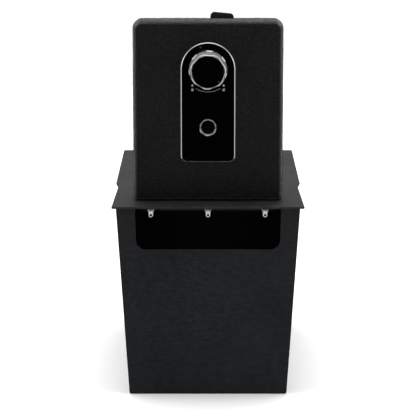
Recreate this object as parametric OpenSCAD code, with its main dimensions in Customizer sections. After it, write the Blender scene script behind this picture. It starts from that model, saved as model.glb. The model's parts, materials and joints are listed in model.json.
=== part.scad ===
// Vehicle console safe: a tapered steel tub hung from a flat flange, with a padded lid that
// stands open on its hinge edge. +Z up, the lock panel faces -Y, origin at the middle of the base.

/* [Tub] */
// Height of the top of the flange above the base
tub_h = 206; // [198:0.5:214]
// Half width of the tub where it meets the flange
tub_top_x = 97.1; // [96:0.1:98]
// Half width of the tub at its base
tub_base_x = 83.9; // [80:0.1:90]
// Sheet thickness of the tub walls
wall_t = 2; // [1.5:0.1:2.5]
// Set-back of the front wall behind the flange's front edge
front_set = 6; // [4:0.5:9]
// Set-back of the rear wall from the flange's rear edge
rear_set = 10.25; // [6:0.25:20]
// Radius of the tub's lower corners, seen from the front
tub_corner_r = 1.8; // [0.5:0.1:4]

/* [Flange] */
// Depth of the flange from front edge to rear edge
flange_d = 312.5; // [308:0.5:316]
// Thickness of the flange plate
flange_t = 2.4; // [2:0.1:3]
// Half width at the front edge
flange_front_x = 101.5; // [100:0.1:104]
// Half width just in front of the side step
step_in_x = 98.1; // [97.8:0.1:99]
// Half width just behind the side step
step_out_x = 101.1; // [100:0.1:102]
// Half width at the rear edge
flange_rear_x = 99.2; // [98:0.1:101]
// Distance of the step's start behind the front edge
step_start = 105; // [95:1:110]
// Distance of the step's end behind the front edge
step_end = 125; // [118:1:140]

/* [Mouth] */
// Half width of the mouth
mouth_x = 69.7; // [68:0.1:71]
// Distance of the mouth's near edge behind the flange's front edge
mouth_near = 54.5; // [54:0.1:56]
// Depth of the mouth
mouth_d = 182.5; // [182:0.5:184]
// Drop of the lip below the top of the flange
lip_drop = 15.8; // [15.2:0.1:16.6]
// Half width of the key hanger pitch
hanger_pitch = 61.3; // [60.5:0.1:62]
// Forward lean of each key hanger's tongue
hanger_lean = 13; // [0:1:20]

/* [Access window] */
// Half width at the top
window_top_x = 76.8; // [72:0.1:80]
// Half width at the bottom
window_low_x = 75.9; // [72:0.1:80]
// Drop of its lower edge below the top of the flange
window_drop = 47.6; // [40:0.1:56]
// Radius of its lower corners
window_r = 11; // [6:0.5:14]

/* [Anchor holes] */
// Hole to hole distance across the floor
anchor_x = 110; // [100:1:120]
// Hole to hole distance along the floor
anchor_y = 190; // [170:1:210]
// Diameter of each hole
anchor_d = 9; // [8:0.1:10]

/* [Lid] */
// Width of the lid
lid_w = 158.4; // [157.6:0.1:159]
// Height of the lid's free edge above the flange, lid open
lid_h = 192.1; // [190.5:0.1:194]
// Thickness of the lid over carpet and plate
lid_t = 25; // [24.8:0.1:25.4]
// Set-back of the carpet face behind the flange's front edge
lid_set = 29.5; // [29.3:0.1:29.8]
// Radius of the carpet's rounded edges
edge_r = 3.2; // [2.6:0.1:8]
// Width of the pull tab
tab_w = 25; // [22:0.5:28]

/* [Lock panel] */
// Width of the panel over its trim
panel_w = 57.4; // [57:0.1:58]
// Height of the knob's axis above the flange
knob_z = 140.9; // [140.5:0.1:141.3]
// Height of the panel's lower edge above the flange
panel_low = 42.9; // [42:0.1:44]
// Width of the trim line
trim_w = 1.3; // [1.1:0.1:2]
// Height of the fingerprint reader's centre above the flange
sensor_z = 79.5; // [78.5:0.1:80.5]

/* [Knob] */
// Radius at the panel
knob_r = 20.3; // [19.8:0.1:20.8]
// Radius at the front edge
knob_front_r = 19; // [18.6:0.1:19.4]
// Height of the knob
knob_h = 17.9; // [16.5:0.1:18.5]
// Number of flutes
flutes = 7; // [6:1:9]
// Angle of the pointer from straight down, at rest
pointer_a = 47; // [42:0.5:50]

/* [Bolt work] */
// Teeth on the pinion
teeth = 14; // [14:1:14]
// Gear module of pinion and rack
gear_m = 1.4; // [1.4:0.01:1.4]
// Half width of the bolt
bolt_x = 20; // [19.5:0.1:20]
// Travel of the bolt for the knob's full turn
bolt_travel = 15.05; // [14.9:0.01:15.2]

/* [Hidden] */
$fn = 96;

hd = flange_d / 2;              // half depth of the flange
front_y = -hd + front_set;      // front face of the tub
rear_y = hd - rear_set;         // rear face of the tub
wall_h = tub_h - flange_t;      // top of the tub walls
lid_y = -hd + lid_set;          // carpet face of the open lid
near_y = -hd + mouth_near;      // near edge of the mouth
far_y = near_y + mouth_d;       // far edge of the mouth
barrel_r = 2.5;                 // outside of the hinge knuckles
pin_r = 1.2;
axis_y = near_y + barrel_r;     // hinge axis
axis_z = tub_h + 0.3 - barrel_r;
leaf_x = 56;                    // half width of the hinge
seg = 14;                       // pitch of the knuckles
plate_y = lid_t;                // inner face of the lid plate, from the carpet face
plate_t = 2.5;
face_y = 0.2;                   // front of the faceplate
arch_r = panel_w / 2;
bolt_y0 = 30;                   // front and back of the bolt
bolt_y1 = 34;
bolt_mid = (bolt_y0 + bolt_y1) / 2;
pitch_r = teeth * gear_m / 2;
gear_p = PI * gear_m;
lock_z = 136;                   // height of the plunger
flute_r = 60;
flute_deep = 1;
steel = [0.055, 0.055, 0.058];
black = [0.03, 0.03, 0.032];
zinc = [0.72, 0.73, 0.74];
chrome = [0.82, 0.83, 0.85];

// ---- outlines ----
function unit(v) = v / norm(v);
function wrap(a) = a > 180 ? a - 360 : a <= -180 ? a + 360 : a;
function fillet(p0, p1, p2, r, n) =
    let (a = unit(p0 - p1), b = unit(p2 - p1), ang = acos(a * b), t = r / tan(ang / 2),
        c = p1 + unit(a + b) * (r / sin(ang / 2)), s = p1 + a * t - c, e = p1 + b * t - c,
        sa = atan2(s[1], s[0]), da = wrap(atan2(e[1], e[0]) - sa))
    [for (i = [0:n]) c + r * [cos(sa + da * i / n), sin(sa + da * i / n)]];
function rounded(p, r, n = 6) = let (k = len(p))
    [for (i = [0:k - 1]) each (r[i] <= 0 ? [p[i]] :
        fillet(p[(i + k - 1) % k], p[i], p[(i + 1) % k], r[i], n))];
function box2(x0, y0, x1, y1, r, n = 6) =
    rounded([[x0, y0], [x1, y0], [x1, y1], [x0, y1]], [r, r, r, r], n);
function tub_x(z) = tub_base_x + (tub_top_x - tub_base_x) * z / wall_h;
function arch(inset, n = 48) = let (r = arch_r - inset, c = max(0.6, 6 - inset))
    concat([for (i = [0:n]) [r * cos(180 * i / n), knob_z + r * sin(180 * i / n)]],
        fillet([-r, knob_z], [-r, panel_low + inset], [r, panel_low + inset], c, 6),
        fillet([-r, panel_low + inset], [r, panel_low + inset], [r, knob_z], c, 6));

// ---- placing ----
module slab(y0, y1) translate([0, y1, 0]) rotate([90, 0, 0]) linear_extrude(y1 - y0) children();
module block(x0, x1, y0, y1, z0, z1) translate([x0, y0, z0]) cube([x1 - x0, y1 - y0, z1 - z0]);
module rod_y(x, z, y0, y1, r) translate([x, y0, z]) rotate([-90, 0, 0]) cylinder(r = r, h = y1 - y0);
module rod_x(y, z, x0, x1, r) translate([x0, y, z]) rotate([0, 90, 0]) cylinder(r = r, h = x1 - x0);
module turned(x, z) translate([x, 0, z]) rotate([-90, 0, 0]) rotate_extrude() children();
module on_lid() translate([0, lid_y, tub_h]) children();
module knob_spin() translate([0, 0, knob_z]) rotate([0, 180 - pointer_a, 0]) children();

// ---- tub ----
module flange_plate() color(steel) translate([0, 0, wall_h]) linear_extrude(flange_t) difference() {
    polygon(rounded([[-flange_front_x, -hd], [flange_front_x, -hd],
        [step_in_x, -hd + step_start], [step_out_x, -hd + step_end], [flange_rear_x, hd],
        [-flange_rear_x, hd], [-step_out_x, -hd + step_end], [-step_in_x, -hd + step_start]],
        [1.5, 1.5, 3, 3, 3, 3, 3, 3]));
    polygon(box2(-mouth_x, near_y, mouth_x, far_y, 4));
}
module wall_outline() polygon(rounded([[-tub_base_x, 0], [tub_base_x, 0], [tub_top_x, wall_h],
    [-tub_top_x, wall_h]], [tub_corner_r, tub_corner_r, 0, 0]));
module tub_front_panel() color(steel) slab(front_y, front_y + wall_t) difference() {
    wall_outline();
    polygon(concat([[window_top_x, wall_h + 1], [-window_top_x, wall_h + 1]],
        fillet([-window_top_x, wall_h + 1], [-window_low_x, tub_h - window_drop],
            [window_low_x, tub_h - window_drop], window_r, 12),
        fillet([-window_low_x, tub_h - window_drop], [window_low_x, tub_h - window_drop],
            [window_top_x, wall_h + 1], window_r, 12)));
}
module tub_rear_panel() color(steel) slab(rear_y - wall_t, rear_y) wall_outline();
module tub_side(s) color(steel) slab(front_y + wall_t, rear_y - wall_t)
    polygon([[s * (tub_base_x - 1), 0], [s * tub_x(1), 1], [s * tub_top_x, wall_h], [s * (tub_top_x - wall_t), wall_h],
        [s * (tub_base_x - wall_t), 0]]);
module anchors(r, z0, z1) for (x = [-1, 1], y = [-1, 1])
    translate([x * anchor_x / 2, y * anchor_y / 2, z0]) cylinder(r = r, h = z1 - z0);
module tub_floor() color(steel) difference() {
    slab(front_y + wall_t, rear_y - wall_t) polygon([[-tub_base_x + wall_t, 0],
        [tub_base_x - wall_t, 0], [tub_x(2) - wall_t, 2], [wall_t - tub_x(2), 2]]);
    anchors(anchor_d / 2, -1, 3);
}
module floor_liner() color(black) difference() {
    translate([0, 0, 2]) linear_extrude(4) polygon(box2(-tub_base_x + 3, front_y + 3,
        tub_base_x - 3, rear_y - 3, 3));
    anchors(11, 1, 7);
}
module mouth_lip() color(steel) difference() {
    block(-mouth_x - 1, mouth_x + 1, near_y - 2, near_y, tub_h - lip_drop, wall_h);
    for (x = [-hanger_pitch, 0, hanger_pitch]) rod_y(x, wall_h - 6, near_y - 3, near_y + 1, 1.6);
    for (x = [-42, -20, 20, 42]) rod_y(x, wall_h - 6, near_y - 3, near_y + 1, 1.6);
}
module strike_plate() color(steel) slab(far_y, far_y + 2.5) difference() {
    polygon(box2(-34, 184, 34, wall_h, 3));
    polygon(box2(-bolt_x - 0.8, axis_z + axis_y - lid_y - bolt_y1 - 0.7, bolt_x + 0.8,
        axis_z + axis_y - lid_y - bolt_y0 + 0.7, 0.8, 3));
}

// ---- hinge ----
module knuckles(odd) for (i = [0:7]) if (i % 2 == odd)
    rod_x(axis_y, axis_z, -leaf_x + i * seg + 0.15, -leaf_x + (i + 1) * seg - 0.15, barrel_r);
module hinge_leaf(odd, s) difference() {
    union() {
        knuckles(odd);
        for (i = [0:7]) let (z0 = i % 2 == odd ? 0 : barrel_r + 0.4)
            block(-leaf_x + i * seg + (i % 2 == odd ? 0.15 : -0.15), -leaf_x + (i + 1) * seg
                - (i % 2 == odd ? 0.15 : -0.15), near_y, near_y + 1,
                s > 0 ? axis_z + z0 : axis_z - 12, s > 0 ? axis_z + 18 : axis_z - z0);
    }
    rod_x(axis_y, axis_z, -leaf_x - 1, leaf_x + 1, pin_r + 0.05);
    for (x = s > 0 ? [-49, -24.5, 0, 24.5, 49] : [-42, -20, 0, 20, 42])
        rod_y(x, s > 0 ? axis_z + 12 : wall_h - 6, near_y - 1, near_y + 2, s > 0 ? 2 : 1.6);
    for (x = [-1, 1]) block(x > 0 ? leaf_x : -leaf_x - 1, x > 0 ? leaf_x + 1 : -leaf_x,
        near_y - 1, near_y + 2, axis_z - 13, axis_z + 19);
}
module hinge_body_leaf() color(zinc) hinge_leaf(0, -1);
module hinge_lid_leaf() color(zinc) hinge_leaf(1, 1);
module hinge_pin() color(zinc) rod_x(axis_y, axis_z, -leaf_x - 0.6, leaf_x + 0.6, pin_r);
module rivet(x, y0, y1, head) color(zinc) {
    rod_y(x, wall_h - 6, y0, y1, 1.6);
    turned(x, wall_h - 6) polygon([[0, y0 - 1.1], [1.4, y0 - 1.1], [2.3, y0 - 0.7], [2.6, y0],
        [0, y0]]);
    rod_y(x, wall_h - 6, y1, y1 + 0.8, head);
}
module hinge_body_rivets() for (x = [-42, -20, 20, 42]) rivet(x, near_y - 2, near_y + 1, 2.2);
module key_hanger_rivets() for (x = [-hanger_pitch, 0, hanger_pitch])
    rivet(x, near_y - 3.2, near_y + (x == 0 ? 1 : 0), 2.2);
module hinge_lid_screws() color(zinc) for (x = [-49, -24.5, 0, 24.5, 49]) {
    rod_y(x, axis_z + 12, lid_y + 19, near_y + 1, 2);
    turned(x, axis_z + 12) polygon([[0, near_y + 1], [3.4, near_y + 1], [3, near_y + 1.9],
        [1.8, near_y + 2.4], [0, near_y + 2.4]]);
}

// ---- key hangers ----
module key_hanger(x) color(zinc) translate([x, near_y - 2, 0]) {
    slab(-1.2, 0) difference() {
        translate([-4.4, 192.4]) square([8.8, 7.6]);
        translate([0, wall_h - 6]) circle(r = 1.6);
    }
    translate([0, 0, 192.4]) rotate([-hanger_lean, 0, 0]) slab(-1.2, 0) difference() {
        polygon(concat([[-4.4, 0.04], [-4.3, -1.2], [-3.7, -2.5], [-2.75, -4.4]],
            [for (i = [0:24]) [2.75 * cos(180 + 7.5 * i), -7.1 + 2.75 * sin(180 + 7.5 * i)]],
            [[2.75, -4.4], [3.7, -2.5], [4.3, -1.2], [4.4, 0.04]]));
        translate([0, -6.9]) circle(r = 0.9);
    }
}
module key_hanger_left() key_hanger(-hanger_pitch);
module key_hanger_centre() key_hanger(0);
module key_hanger_right() key_hanger(hanger_pitch);

// ---- lid ----
function lid_outline(g, low) = box_r(-lid_w / 2 + g, low + g, lid_w / 2 - g, lid_h - g,
    max(0.6, 5 - g), max(0.6, 9 - g));
function box_r(x0, y0, x1, y1, rl, rh) =
    rounded([[x0, y0], [x1, y0], [x1, y1], [x0, y1]], [rl, rl, rh, rh]);
module lid_form(g, y1) let (r = edge_r - g) hull() {
    for (t = [0, 30, 60]) slab(g + r * (1 - cos(t)), g + r * (1 - cos(t)) + 0.02)
        polygon(lid_outline(g + r * (1 - sin(t)), 0.3));
    slab(g + r, y1) polygon(lid_outline(g, 0.3));
}
module lid_carpet() color(black) on_lid() difference() {
    lid_form(0, lid_t);
    lid_form(2.4, lid_t + 1);
    slab(-1, 4) polygon(arch(-0.15));
    slab(20.5, 22.5) polygon(box2(2, 180, 27.4, 200, 0.2, 2));
}
module lid_core() color([0.25, 0.2, 0.15]) on_lid() difference() {
    lid_form(2.5, lid_t - plate_t);
    slab(-1, 30) polygon(arch(3.9));
    slab(20.55, 23) polygon(box2(1.6, 174, 27.8, 194, 1));
    for (x = [-49, -24.5, 0, 24.5, 49]) rod_y(x, axis_z + 12 - tub_h, 17, 23, 2.05);
}
module plate_holes() {
    rod_y(0, knob_z, 20, 30, 4.5);
    for (x = [-16, 16], z = [70.5, 109.5]) rod_y(x, z, 20, 30, 2);
}
module lid_plate() color(steel) on_lid() difference() {
    slab(lid_t - plate_t, lid_t) polygon(lid_outline(2.5, 0.3));
    plate_holes();
    for (x = [-49, -24.5, 0, 24.5, 49]) rod_y(x, axis_z + 12 - tub_h, 20, 30, 2);
}
module pull_tab() color(black) on_lid() slab(20.6, 22.4)
    polygon(rounded([[2.2, 176], [27.2, 176], [27.2, 197.3], [2.4, 199.2]], [0, 0, 4, 4.6], 8));

// ---- lock panel ----
module lock_bezel() color(chrome) on_lid() {
    slab(-0.1, 2.4) difference() { polygon(arch(0)); polygon(arch(trim_w)); }
    slab(-0.45, -0.1) difference() { polygon(arch(0.35)); polygon(arch(trim_w)); }
    slab(-0.8, -0.45) difference() { polygon(arch(0.7)); polygon(arch(trim_w)); }
}
module lock_faceplate() color(black) on_lid() difference() {
    slab(face_y, 2.4) polygon(arch(trim_w));
    rod_y(0, knob_z, -1, 4, 5);
    rod_y(0, sensor_z, -1, 4, 7.6);
    rod_y(-7.9, 164.2, -1, 4, 1.1);
}
module ring_sector(r0, r1, a) difference() {
    circle(r = r1);
    circle(r = r0);
    polygon([[0, 0], [-40 * sin(a), -40 * cos(a)], [-60, 60], [60, 60], [40 * sin(a), -40 * cos(a)]]);
}
module padlock(open) {
    difference() {
        translate([-1.15, -1.5]) square([2.3, 1.75]);
        translate([0, -0.45]) circle(r = 0.3, $fn = 24);
        translate([-0.13, -1.05]) square([0.26, 0.6]);
    }
    translate([open ? 0.7 : 0, 0]) difference() {
        union() { translate([0, 0.75]) circle(r = 0.85, $fn = 32); translate([-0.85, 0.15]) square([1.7, 0.6]); }
        translate([0, 0.75]) circle(r = 0.47, $fn = 32);
        translate([-0.47, 0]) square([0.94, 0.75]);
        if (open) translate([0.2, -0.1]) square([1.2, 0.65]);
    }
}
module dial_marks() color([0.8, 0.8, 0.8]) on_lid() slab(face_y - 0.12, face_y) {
    for (x = [-16.4, 16.4]) translate([x, 123.9]) circle(r = 1.05);
    translate([-16.4, 119.6]) padlock(false);
    translate([16.4, 119.6]) padlock(true);
    translate([0, knob_z]) ring_sector(23.75, 24.05, 33);
}
module status_led() color([0.1, 0.12, 0.12]) on_lid() turned(-7.9, 164.2)
    polygon([[0, 0.05], [0.7, 0.1], [1.1, 0.4], [1.1, 2.4], [0, 2.4]]);
module sensor_bezel() color(chrome) on_lid() turned(0, sensor_z)
    polygon([[7.1, 0.5], [7.1, -0.7], [7.2, -1.1], [7.45, -1.42], [7.8, -1.58], [8.2, -1.58], [8.55, -1.42],
        [8.8, -1.1], [8.9, -0.65], [9.65, -0.3], [9.7, face_y], [7.6, face_y], [7.6, 2.4], [7.1, 2.4]]);
module sensor_window() color([0.02, 0.02, 0.025]) on_lid() rod_y(0, sensor_z, 0.1, 1.5, 7.1);
module sensor_module() color([0.06, 0.08, 0.06]) on_lid() {
    rod_y(0, sensor_z, 1.5, 9, 7.1);
    block(-9.5, 9.5, 9, 12, sensor_z - 9.5, sensor_z + 9.5);
}
module lock_housing() color([0.12, 0.12, 0.12]) on_lid() difference() {
    slab(2.4, lid_t - plate_t) polygon(arch(4));
    rod_y(0, knob_z, 2, 30, 6);
    rod_y(0, sensor_z, 2, 12, 7.6);
    block(-9.5, 9.5, 9, 30, sensor_z - 9.5, sensor_z + 9.5);
    for (x = [-16, 16], z = [70.5, 109.5]) rod_y(x, z, 10, 30, 2);
}
module housing_screws() color(zinc) on_lid() for (x = [-16, 16], z = [70.5, 109.5]) {
    rod_y(x, z, 12, lid_t + 1.5, 2);
    turned(x, z) polygon([[0, 26.5], [3.4, 26.5], [3.2, 27.7], [2.4, 28.4], [0, 28.4]]);
}
module spindle_bush() color([0.72, 0.6, 0.3]) on_lid() turned(0, knob_z)
    polygon([[4.05, 2.4], [6, 2.4], [6, 22.5], [4.05, 22.5]]);

// ---- bolt work on the lid's inner side ----
module lock_base_plate() color(zinc) on_lid() difference() {
    slab(lid_t, lid_t + 1.5) polygon(box2(-50, 25.5, 50, 167.5, 3));
    plate_holes();
    for (x = [-45, 45], z = [31, 162]) rod_y(x, z, 20, 30, 1.5);
}
module bolt_bridge() color(zinc) on_lid() difference() {
    slab(26.5, 36.5) polygon([[-30, 162.5], [30, 162.5], [30, 166.5], [-30, 166.5]]);
    block(-bolt_x - 0.3, bolt_x + 0.3, bolt_y0 - 0.3, bolt_y1 + 0.3, 160, 170);
}
module bolt_rails() color(zinc) on_lid() for (s = [-1, 1], z = s < 0 ? [[113, 131], [141, 160]] : [[113, 160]])
    difference() {
        block(s > 0 ? bolt_x - 2.5 : -bolt_x - 4, s > 0 ? bolt_x + 4 : -bolt_x + 2.5, 26.5, 36.5, z[0], z[1]);
        block(s > 0 ? 0 : -bolt_x - 0.3, s > 0 ? bolt_x + 0.3 : 0, bolt_y0 - 0.3, bolt_y1 + 0.3, 100, 170);
    }
module solenoid_body() color([0.3, 0.3, 0.32]) on_lid() difference() {
    union() {
        block(-50, -48.6, 26.5, 37.5, 128, 144);
        block(-32.4, -31, 26.5, 37.5, 128, 144);
        block(-48.6, -32.4, 26.5, 28.2, 128, 144);
        rod_x(bolt_mid, lock_z, -48.6, -32.4, 4.4);
    }
    rod_x(bolt_mid, lock_z, -49.2, -30, 2.55);
}
module solenoid_plunger() color(zinc) on_lid() {
    rod_x(bolt_mid, lock_z, -47, -26.6, 2.5);
    rod_x(bolt_mid, lock_z, -26.6, -25.6, 2.1);
    rod_x(bolt_mid, lock_z, -25.6, -20.8, 2.5);
}
module plunger_clip() color(steel) on_lid() difference() {
    rod_x(bolt_mid, lock_z, -26.5, -25.7, 3.9);
    rod_x(bolt_mid, lock_z, -27, -25, 2.15);
    block(-27, -25, bolt_mid, bolt_mid + 5, lock_z - 1.4, lock_z + 1.4);
}
module sweep(path, ring) let (m = len(ring), k = len(path)) polyhedron(
    points = [for (p = path) each [for (q = ring) [p[0] + p[3] * q[0], p[1] + p[4] * q[1], p[2] + p[5] * q[1]]]],
    faces = concat([[for (j = [m - 1:-1:0]) j]],
        [for (i = [0:k - 2], j = [0:m - 1]) [i * m + j, i * m + (j + 1) % m, (i + 1) * m + (j + 1) % m, (i + 1) * m + j]],
        [[for (j = [0:m - 1]) (k - 1) * m + j]]));
module plunger_spring() color(zinc) on_lid() sweep(
    [for (i = [0:48]) let (a = i * 22.5) [-30.6 + 3.6 * i / 48, bolt_mid + 3.3 * cos(a), lock_z + 3.3 * sin(a),
        1, cos(a), sin(a)]],
    [for (j = [0:5]) [0.3 * cos(60 * j), 0.3 * sin(60 * j)]]);

// pinion and rack, 20 degree pressure angle, cut thin for backlash
tooth_t = 1.7;
base_r = pitch_r * cos(20);
function inv(a) = tan(a) * 180 / PI - a;
function half_a(r) = tooth_t / 2 / pitch_r * 180 / PI + inv(20) - inv(r > base_r ? acos(base_r / r) : 0);
module pinion_outline() polygon([for (k = [0:teeth - 1]) each let (a = 360 * k / teeth,
        rr = [pitch_r - 1.7, base_r, pitch_r - 0.2, pitch_r + 0.5, pitch_r + 1, pitch_r + 1.3])
    concat([for (r = rr) r * [cos(a - half_a(r)), sin(a - half_a(r))]],
        [for (i = [5:-1:0]) rr[i] * [cos(a + half_a(rr[i])), sin(a + half_a(rr[i]))]])]);
module pinion() color([0.75, 0.62, 0.3]) on_lid() difference() {
    union() {
        slab(bolt_y0, bolt_y1) translate([0, knob_z]) pinion_outline();
        rod_y(0, knob_z, 27, bolt_y0, 6.5);
        rod_y(0, knob_z, bolt_y1, 36.5, 6.5);
    }
    rod_y(0, knob_z, 20, 40, 4);
}
module rack_tooth(z) translate([-pitch_r, z]) polygon([[-1.9, -tooth_t / 2 - 1.9 * tan(20)],
    [1.2, -tooth_t / 2 + 1.2 * tan(20)], [1.2, tooth_t / 2 - 1.2 * tan(20)], [-1.9, tooth_t / 2 + 1.9 * tan(20)]]);
module locking_bolt() color(zinc) on_lid() slab(bolt_y0, bolt_y1) difference() {
    union() {
        translate([-bolt_x, 114]) square([bolt_x - pitch_r - 1.8, 46]);
        for (k = [-6:1]) rack_tooth(knob_z + (k + 0.5) * gear_p);
        translate([bolt_x - 6.5, 114]) square([6.5, 46]);
        polygon(rounded([[-bolt_x, 154.2], [bolt_x, 154.2], [bolt_x, 174], [-bolt_x, 174]], [0, 0, 2.5, 2.5]));
    }
    for (z = [lock_z, lock_z - bolt_travel]) translate([-bolt_x - 1, z - 3]) square([6.5, 6]);
}

// ---- electronics and cover ----
module circuit_board() color([0.05, 0.2, 0.1]) on_lid() difference() {
    slab(30, 31.6) polygon(box2(-38, 76, 38, 104, 1.5));
    for (x = [-34, 34], z = [80, 100]) rod_y(x, z, 29, 33, 1.5);
}
module board_spacers() color(zinc) on_lid() for (x = [-34, 34], z = [80, 100]) {
    rod_y(x, z, 26.5, 30, 2.6);
    rod_y(x, z, 30, 31.6, 1.5);
    rod_y(x, z, 31.6, 33, 2.6);
}
module board_components() color([0.05, 0.05, 0.05]) on_lid() {
    block(-14, 0, 31.6, 33.4, 84, 98);
    block(6, 14, 31.6, 33.2, 90, 96);
    block(16, 27, 31.6, 37, 81, 87);
    block(-29, -19, 31.6, 37, 93, 99);
    for (x = [-25, -19]) rod_y(x, 85, 31.6, 39, 2.5);
    rod_y(24, 96, 31.6, 36, 4);
}
module battery_tray() color([0.08, 0.08, 0.08]) on_lid() difference() {
    slab(26.5, 45.5) polygon(box2(-31, 36.5, 31, 66.4, 1.5));
    block(-29.5, 29.5, 28, 50, 38, 64.9);
}
module battery() color([0.18, 0.18, 0.2]) on_lid() {
    slab(28, 45.4) polygon(box2(-22, 38.3, 24.5, 64.6, 2));
    for (z = [45, 58]) rod_x(36.5, z, -24.4, -22, 2.8);
}
module battery_snap() color(black) on_lid() difference() {
    block(-27.4, -24.4, 29, 44, 40, 63);
    block(-28, -26.6, 34, 39, 42, 61);
}
module mech_cover() color(black) on_lid() difference() {
    union() {
        difference() {
            union() {
                slab(lid_t, 48.5) polygon(box2(-54, 21.5, 54, 171, 5));
                slab(48.5, 50) polygon(box2(-52.5, 23, 52.5, 169.5, 4));
            }
            slab(lid_t - 1, 48) polygon(box2(-52, 23.5, 52, 169, 3.2));
        }
        for (x = [-45, 45], z = [31, 162]) rod_y(x, z, 26.5, 48, 4);
        for (s = [-1, 1]) {
            block(s > 0 ? 27.4 : -30.4, s > 0 ? 30.4 : -27.4, 50, 53.7, 23, 67);
            block(s > 0 ? 25.6 : -30.4, s > 0 ? 30.4 : -25.6, 52.5, 53.7, 23, 67);
        }
    }
    block(-25.5, 25.5, 47, 51, 37.8, 65.2);
    block(-bolt_x - 0.8, bolt_x + 0.8, bolt_y0 - 0.8, bolt_y1 + 0.8, 168, 172);
    for (x = [-45, 45], z = [31, 162]) rod_y(x, z, 20, 60, 1.5);
}
module mech_cover_screws() color(zinc) on_lid() for (x = [-45, 45], z = [31, 162]) {
    rod_y(x, z, lid_t, 50, 1.5);
    turned(x, z) polygon([[0, 50], [3, 50], [2.8, 51], [2, 51.7], [0, 51.7]]);
}
module battery_door() color(black) on_lid() {
    slab(50.15, 52.2) polygon(box2(-27.1, 36.5, 27.1, 66.5, 1));
    for (z = [55, 58, 61]) block(-12, 12, 52.2, 53, z, z + 1.2);
}

// ---- knob ----
module knob_ring() color(chrome) on_lid() difference() {
    turned(0, knob_z) let (f = face_y - knob_h, b = -0.1) polygon([[4, b], [knob_r - 0.4, b], [knob_r, b - 0.6],
        [knob_r - 0.1, b - 2], [knob_front_r, f + 1.3], [knob_front_r - 0.35, f + 0.5], [knob_front_r - 0.95, f],
        [knob_front_r - 1.6, f + 0.1], [knob_front_r - 2, f + 0.5], [knob_front_r - 2.1, f + 3], [4, f + 3]]);
    knob_spin() for (i = [0:flutes - 1]) rotate([0, 360 / flutes * (i + 0.5), 0])
        translate([0, face_y - knob_h - 1, knob_front_r + flute_r - flute_deep])
            rotate([atan((knob_r - knob_front_r) / knob_h) - 90, 0, 0]) cylinder(r = flute_r, h = knob_h - 1.2);
}
module knob_cap() color(black) on_lid() turned(0, knob_z) let (f = face_y - knob_h)
    polygon([[0, f + 0.55], [knob_front_r - 2.6, f + 0.55], [knob_front_r - 2.2, f + 0.9],
        [knob_front_r - 2.12, f + 3], [0, f + 3]]);
module knob_pointer() color([0.6, 0.6, 0.6]) on_lid() translate([0, 0, knob_z]) rotate([0, -pointer_a, 0])
    slab(face_y - knob_h + 0.4, face_y - knob_h + 0.55) polygon(box2(-0.6, -16.6, 0.6, -14.2, 0.5, 3));
module spindle() color(zinc) on_lid() difference() {
    rod_y(0, knob_z, face_y - knob_h + 3, 39, 4);
    turned(0, knob_z) polygon([[3.2, 36.6], [5, 36.6], [5, 37.4], [3.2, 37.4]]);
}
module spindle_clip() color(steel) on_lid() slab(36.6, 37.4) translate([0, knob_z]) difference() {
    circle(r = 6.2);
    circle(r = 3.2);
    translate([-1.8, -8]) square([3.6, 8]);
}

flange_plate();
tub_front_panel();
tub_rear_panel();
tub_side(-1);  // tub_side_left
tub_side(1);  // tub_side_right
tub_floor();
floor_liner();
mouth_lip();
strike_plate();
hinge_body_leaf();
hinge_body_rivets();
hinge_pin();
key_hanger_left();
key_hanger_centre();
key_hanger_right();
key_hanger_rivets();
lid_plate();
lid_core();
lid_carpet();
hinge_lid_leaf();
hinge_lid_screws();
pull_tab();
lock_bezel();
lock_faceplate();
dial_marks();
status_led();
sensor_bezel();
sensor_window();
sensor_module();
lock_housing();
housing_screws();
spindle_bush();
lock_base_plate();
bolt_bridge();
bolt_rails();
solenoid_body();
plunger_spring();
circuit_board();
board_components();
board_spacers();
battery_tray();
battery();
battery_snap();
mech_cover();
mech_cover_screws();
knob_ring();
knob_cap();
knob_pointer();
spindle();
pinion();
spindle_clip();
locking_bolt();
solenoid_plunger();
plunger_clip();
battery_door();
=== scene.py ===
import bpy
import json
import math
import numpy as np
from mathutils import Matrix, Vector
from mathutils.geometry import delaunay_2d_cdt


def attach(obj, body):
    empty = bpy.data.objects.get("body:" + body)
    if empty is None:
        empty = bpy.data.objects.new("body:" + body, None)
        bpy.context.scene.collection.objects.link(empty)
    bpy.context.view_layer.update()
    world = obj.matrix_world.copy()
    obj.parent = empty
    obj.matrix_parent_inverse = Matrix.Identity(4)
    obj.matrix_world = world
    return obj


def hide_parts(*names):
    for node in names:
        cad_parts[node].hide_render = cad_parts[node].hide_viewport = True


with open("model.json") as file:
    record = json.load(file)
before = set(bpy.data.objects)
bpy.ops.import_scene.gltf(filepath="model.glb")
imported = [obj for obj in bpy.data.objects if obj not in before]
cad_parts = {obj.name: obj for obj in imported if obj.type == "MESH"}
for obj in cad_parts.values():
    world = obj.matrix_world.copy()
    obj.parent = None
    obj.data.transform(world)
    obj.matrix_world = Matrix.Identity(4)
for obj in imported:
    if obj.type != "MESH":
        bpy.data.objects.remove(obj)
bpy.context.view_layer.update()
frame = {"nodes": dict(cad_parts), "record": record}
NODES = frame["nodes"]
MM = 0.001

# Figures of the frame that the pieces below are built on, in millimetres.
LID_Y, TOP = -126.75, 206.0
LID_W, LID_H, LID_T, EDGE_R, EDGE_D = 157.6, 191.9, 25.0, 4.4, 11.0
KNOB_Z, PANEL_LOW, ARCH_R = 140.9, 42.9, 28.7
SENSOR_Z = 79.5
NEAR_Y, WALL_H = -101.75, 203.6

rng = np.random.default_rng(7)


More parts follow.
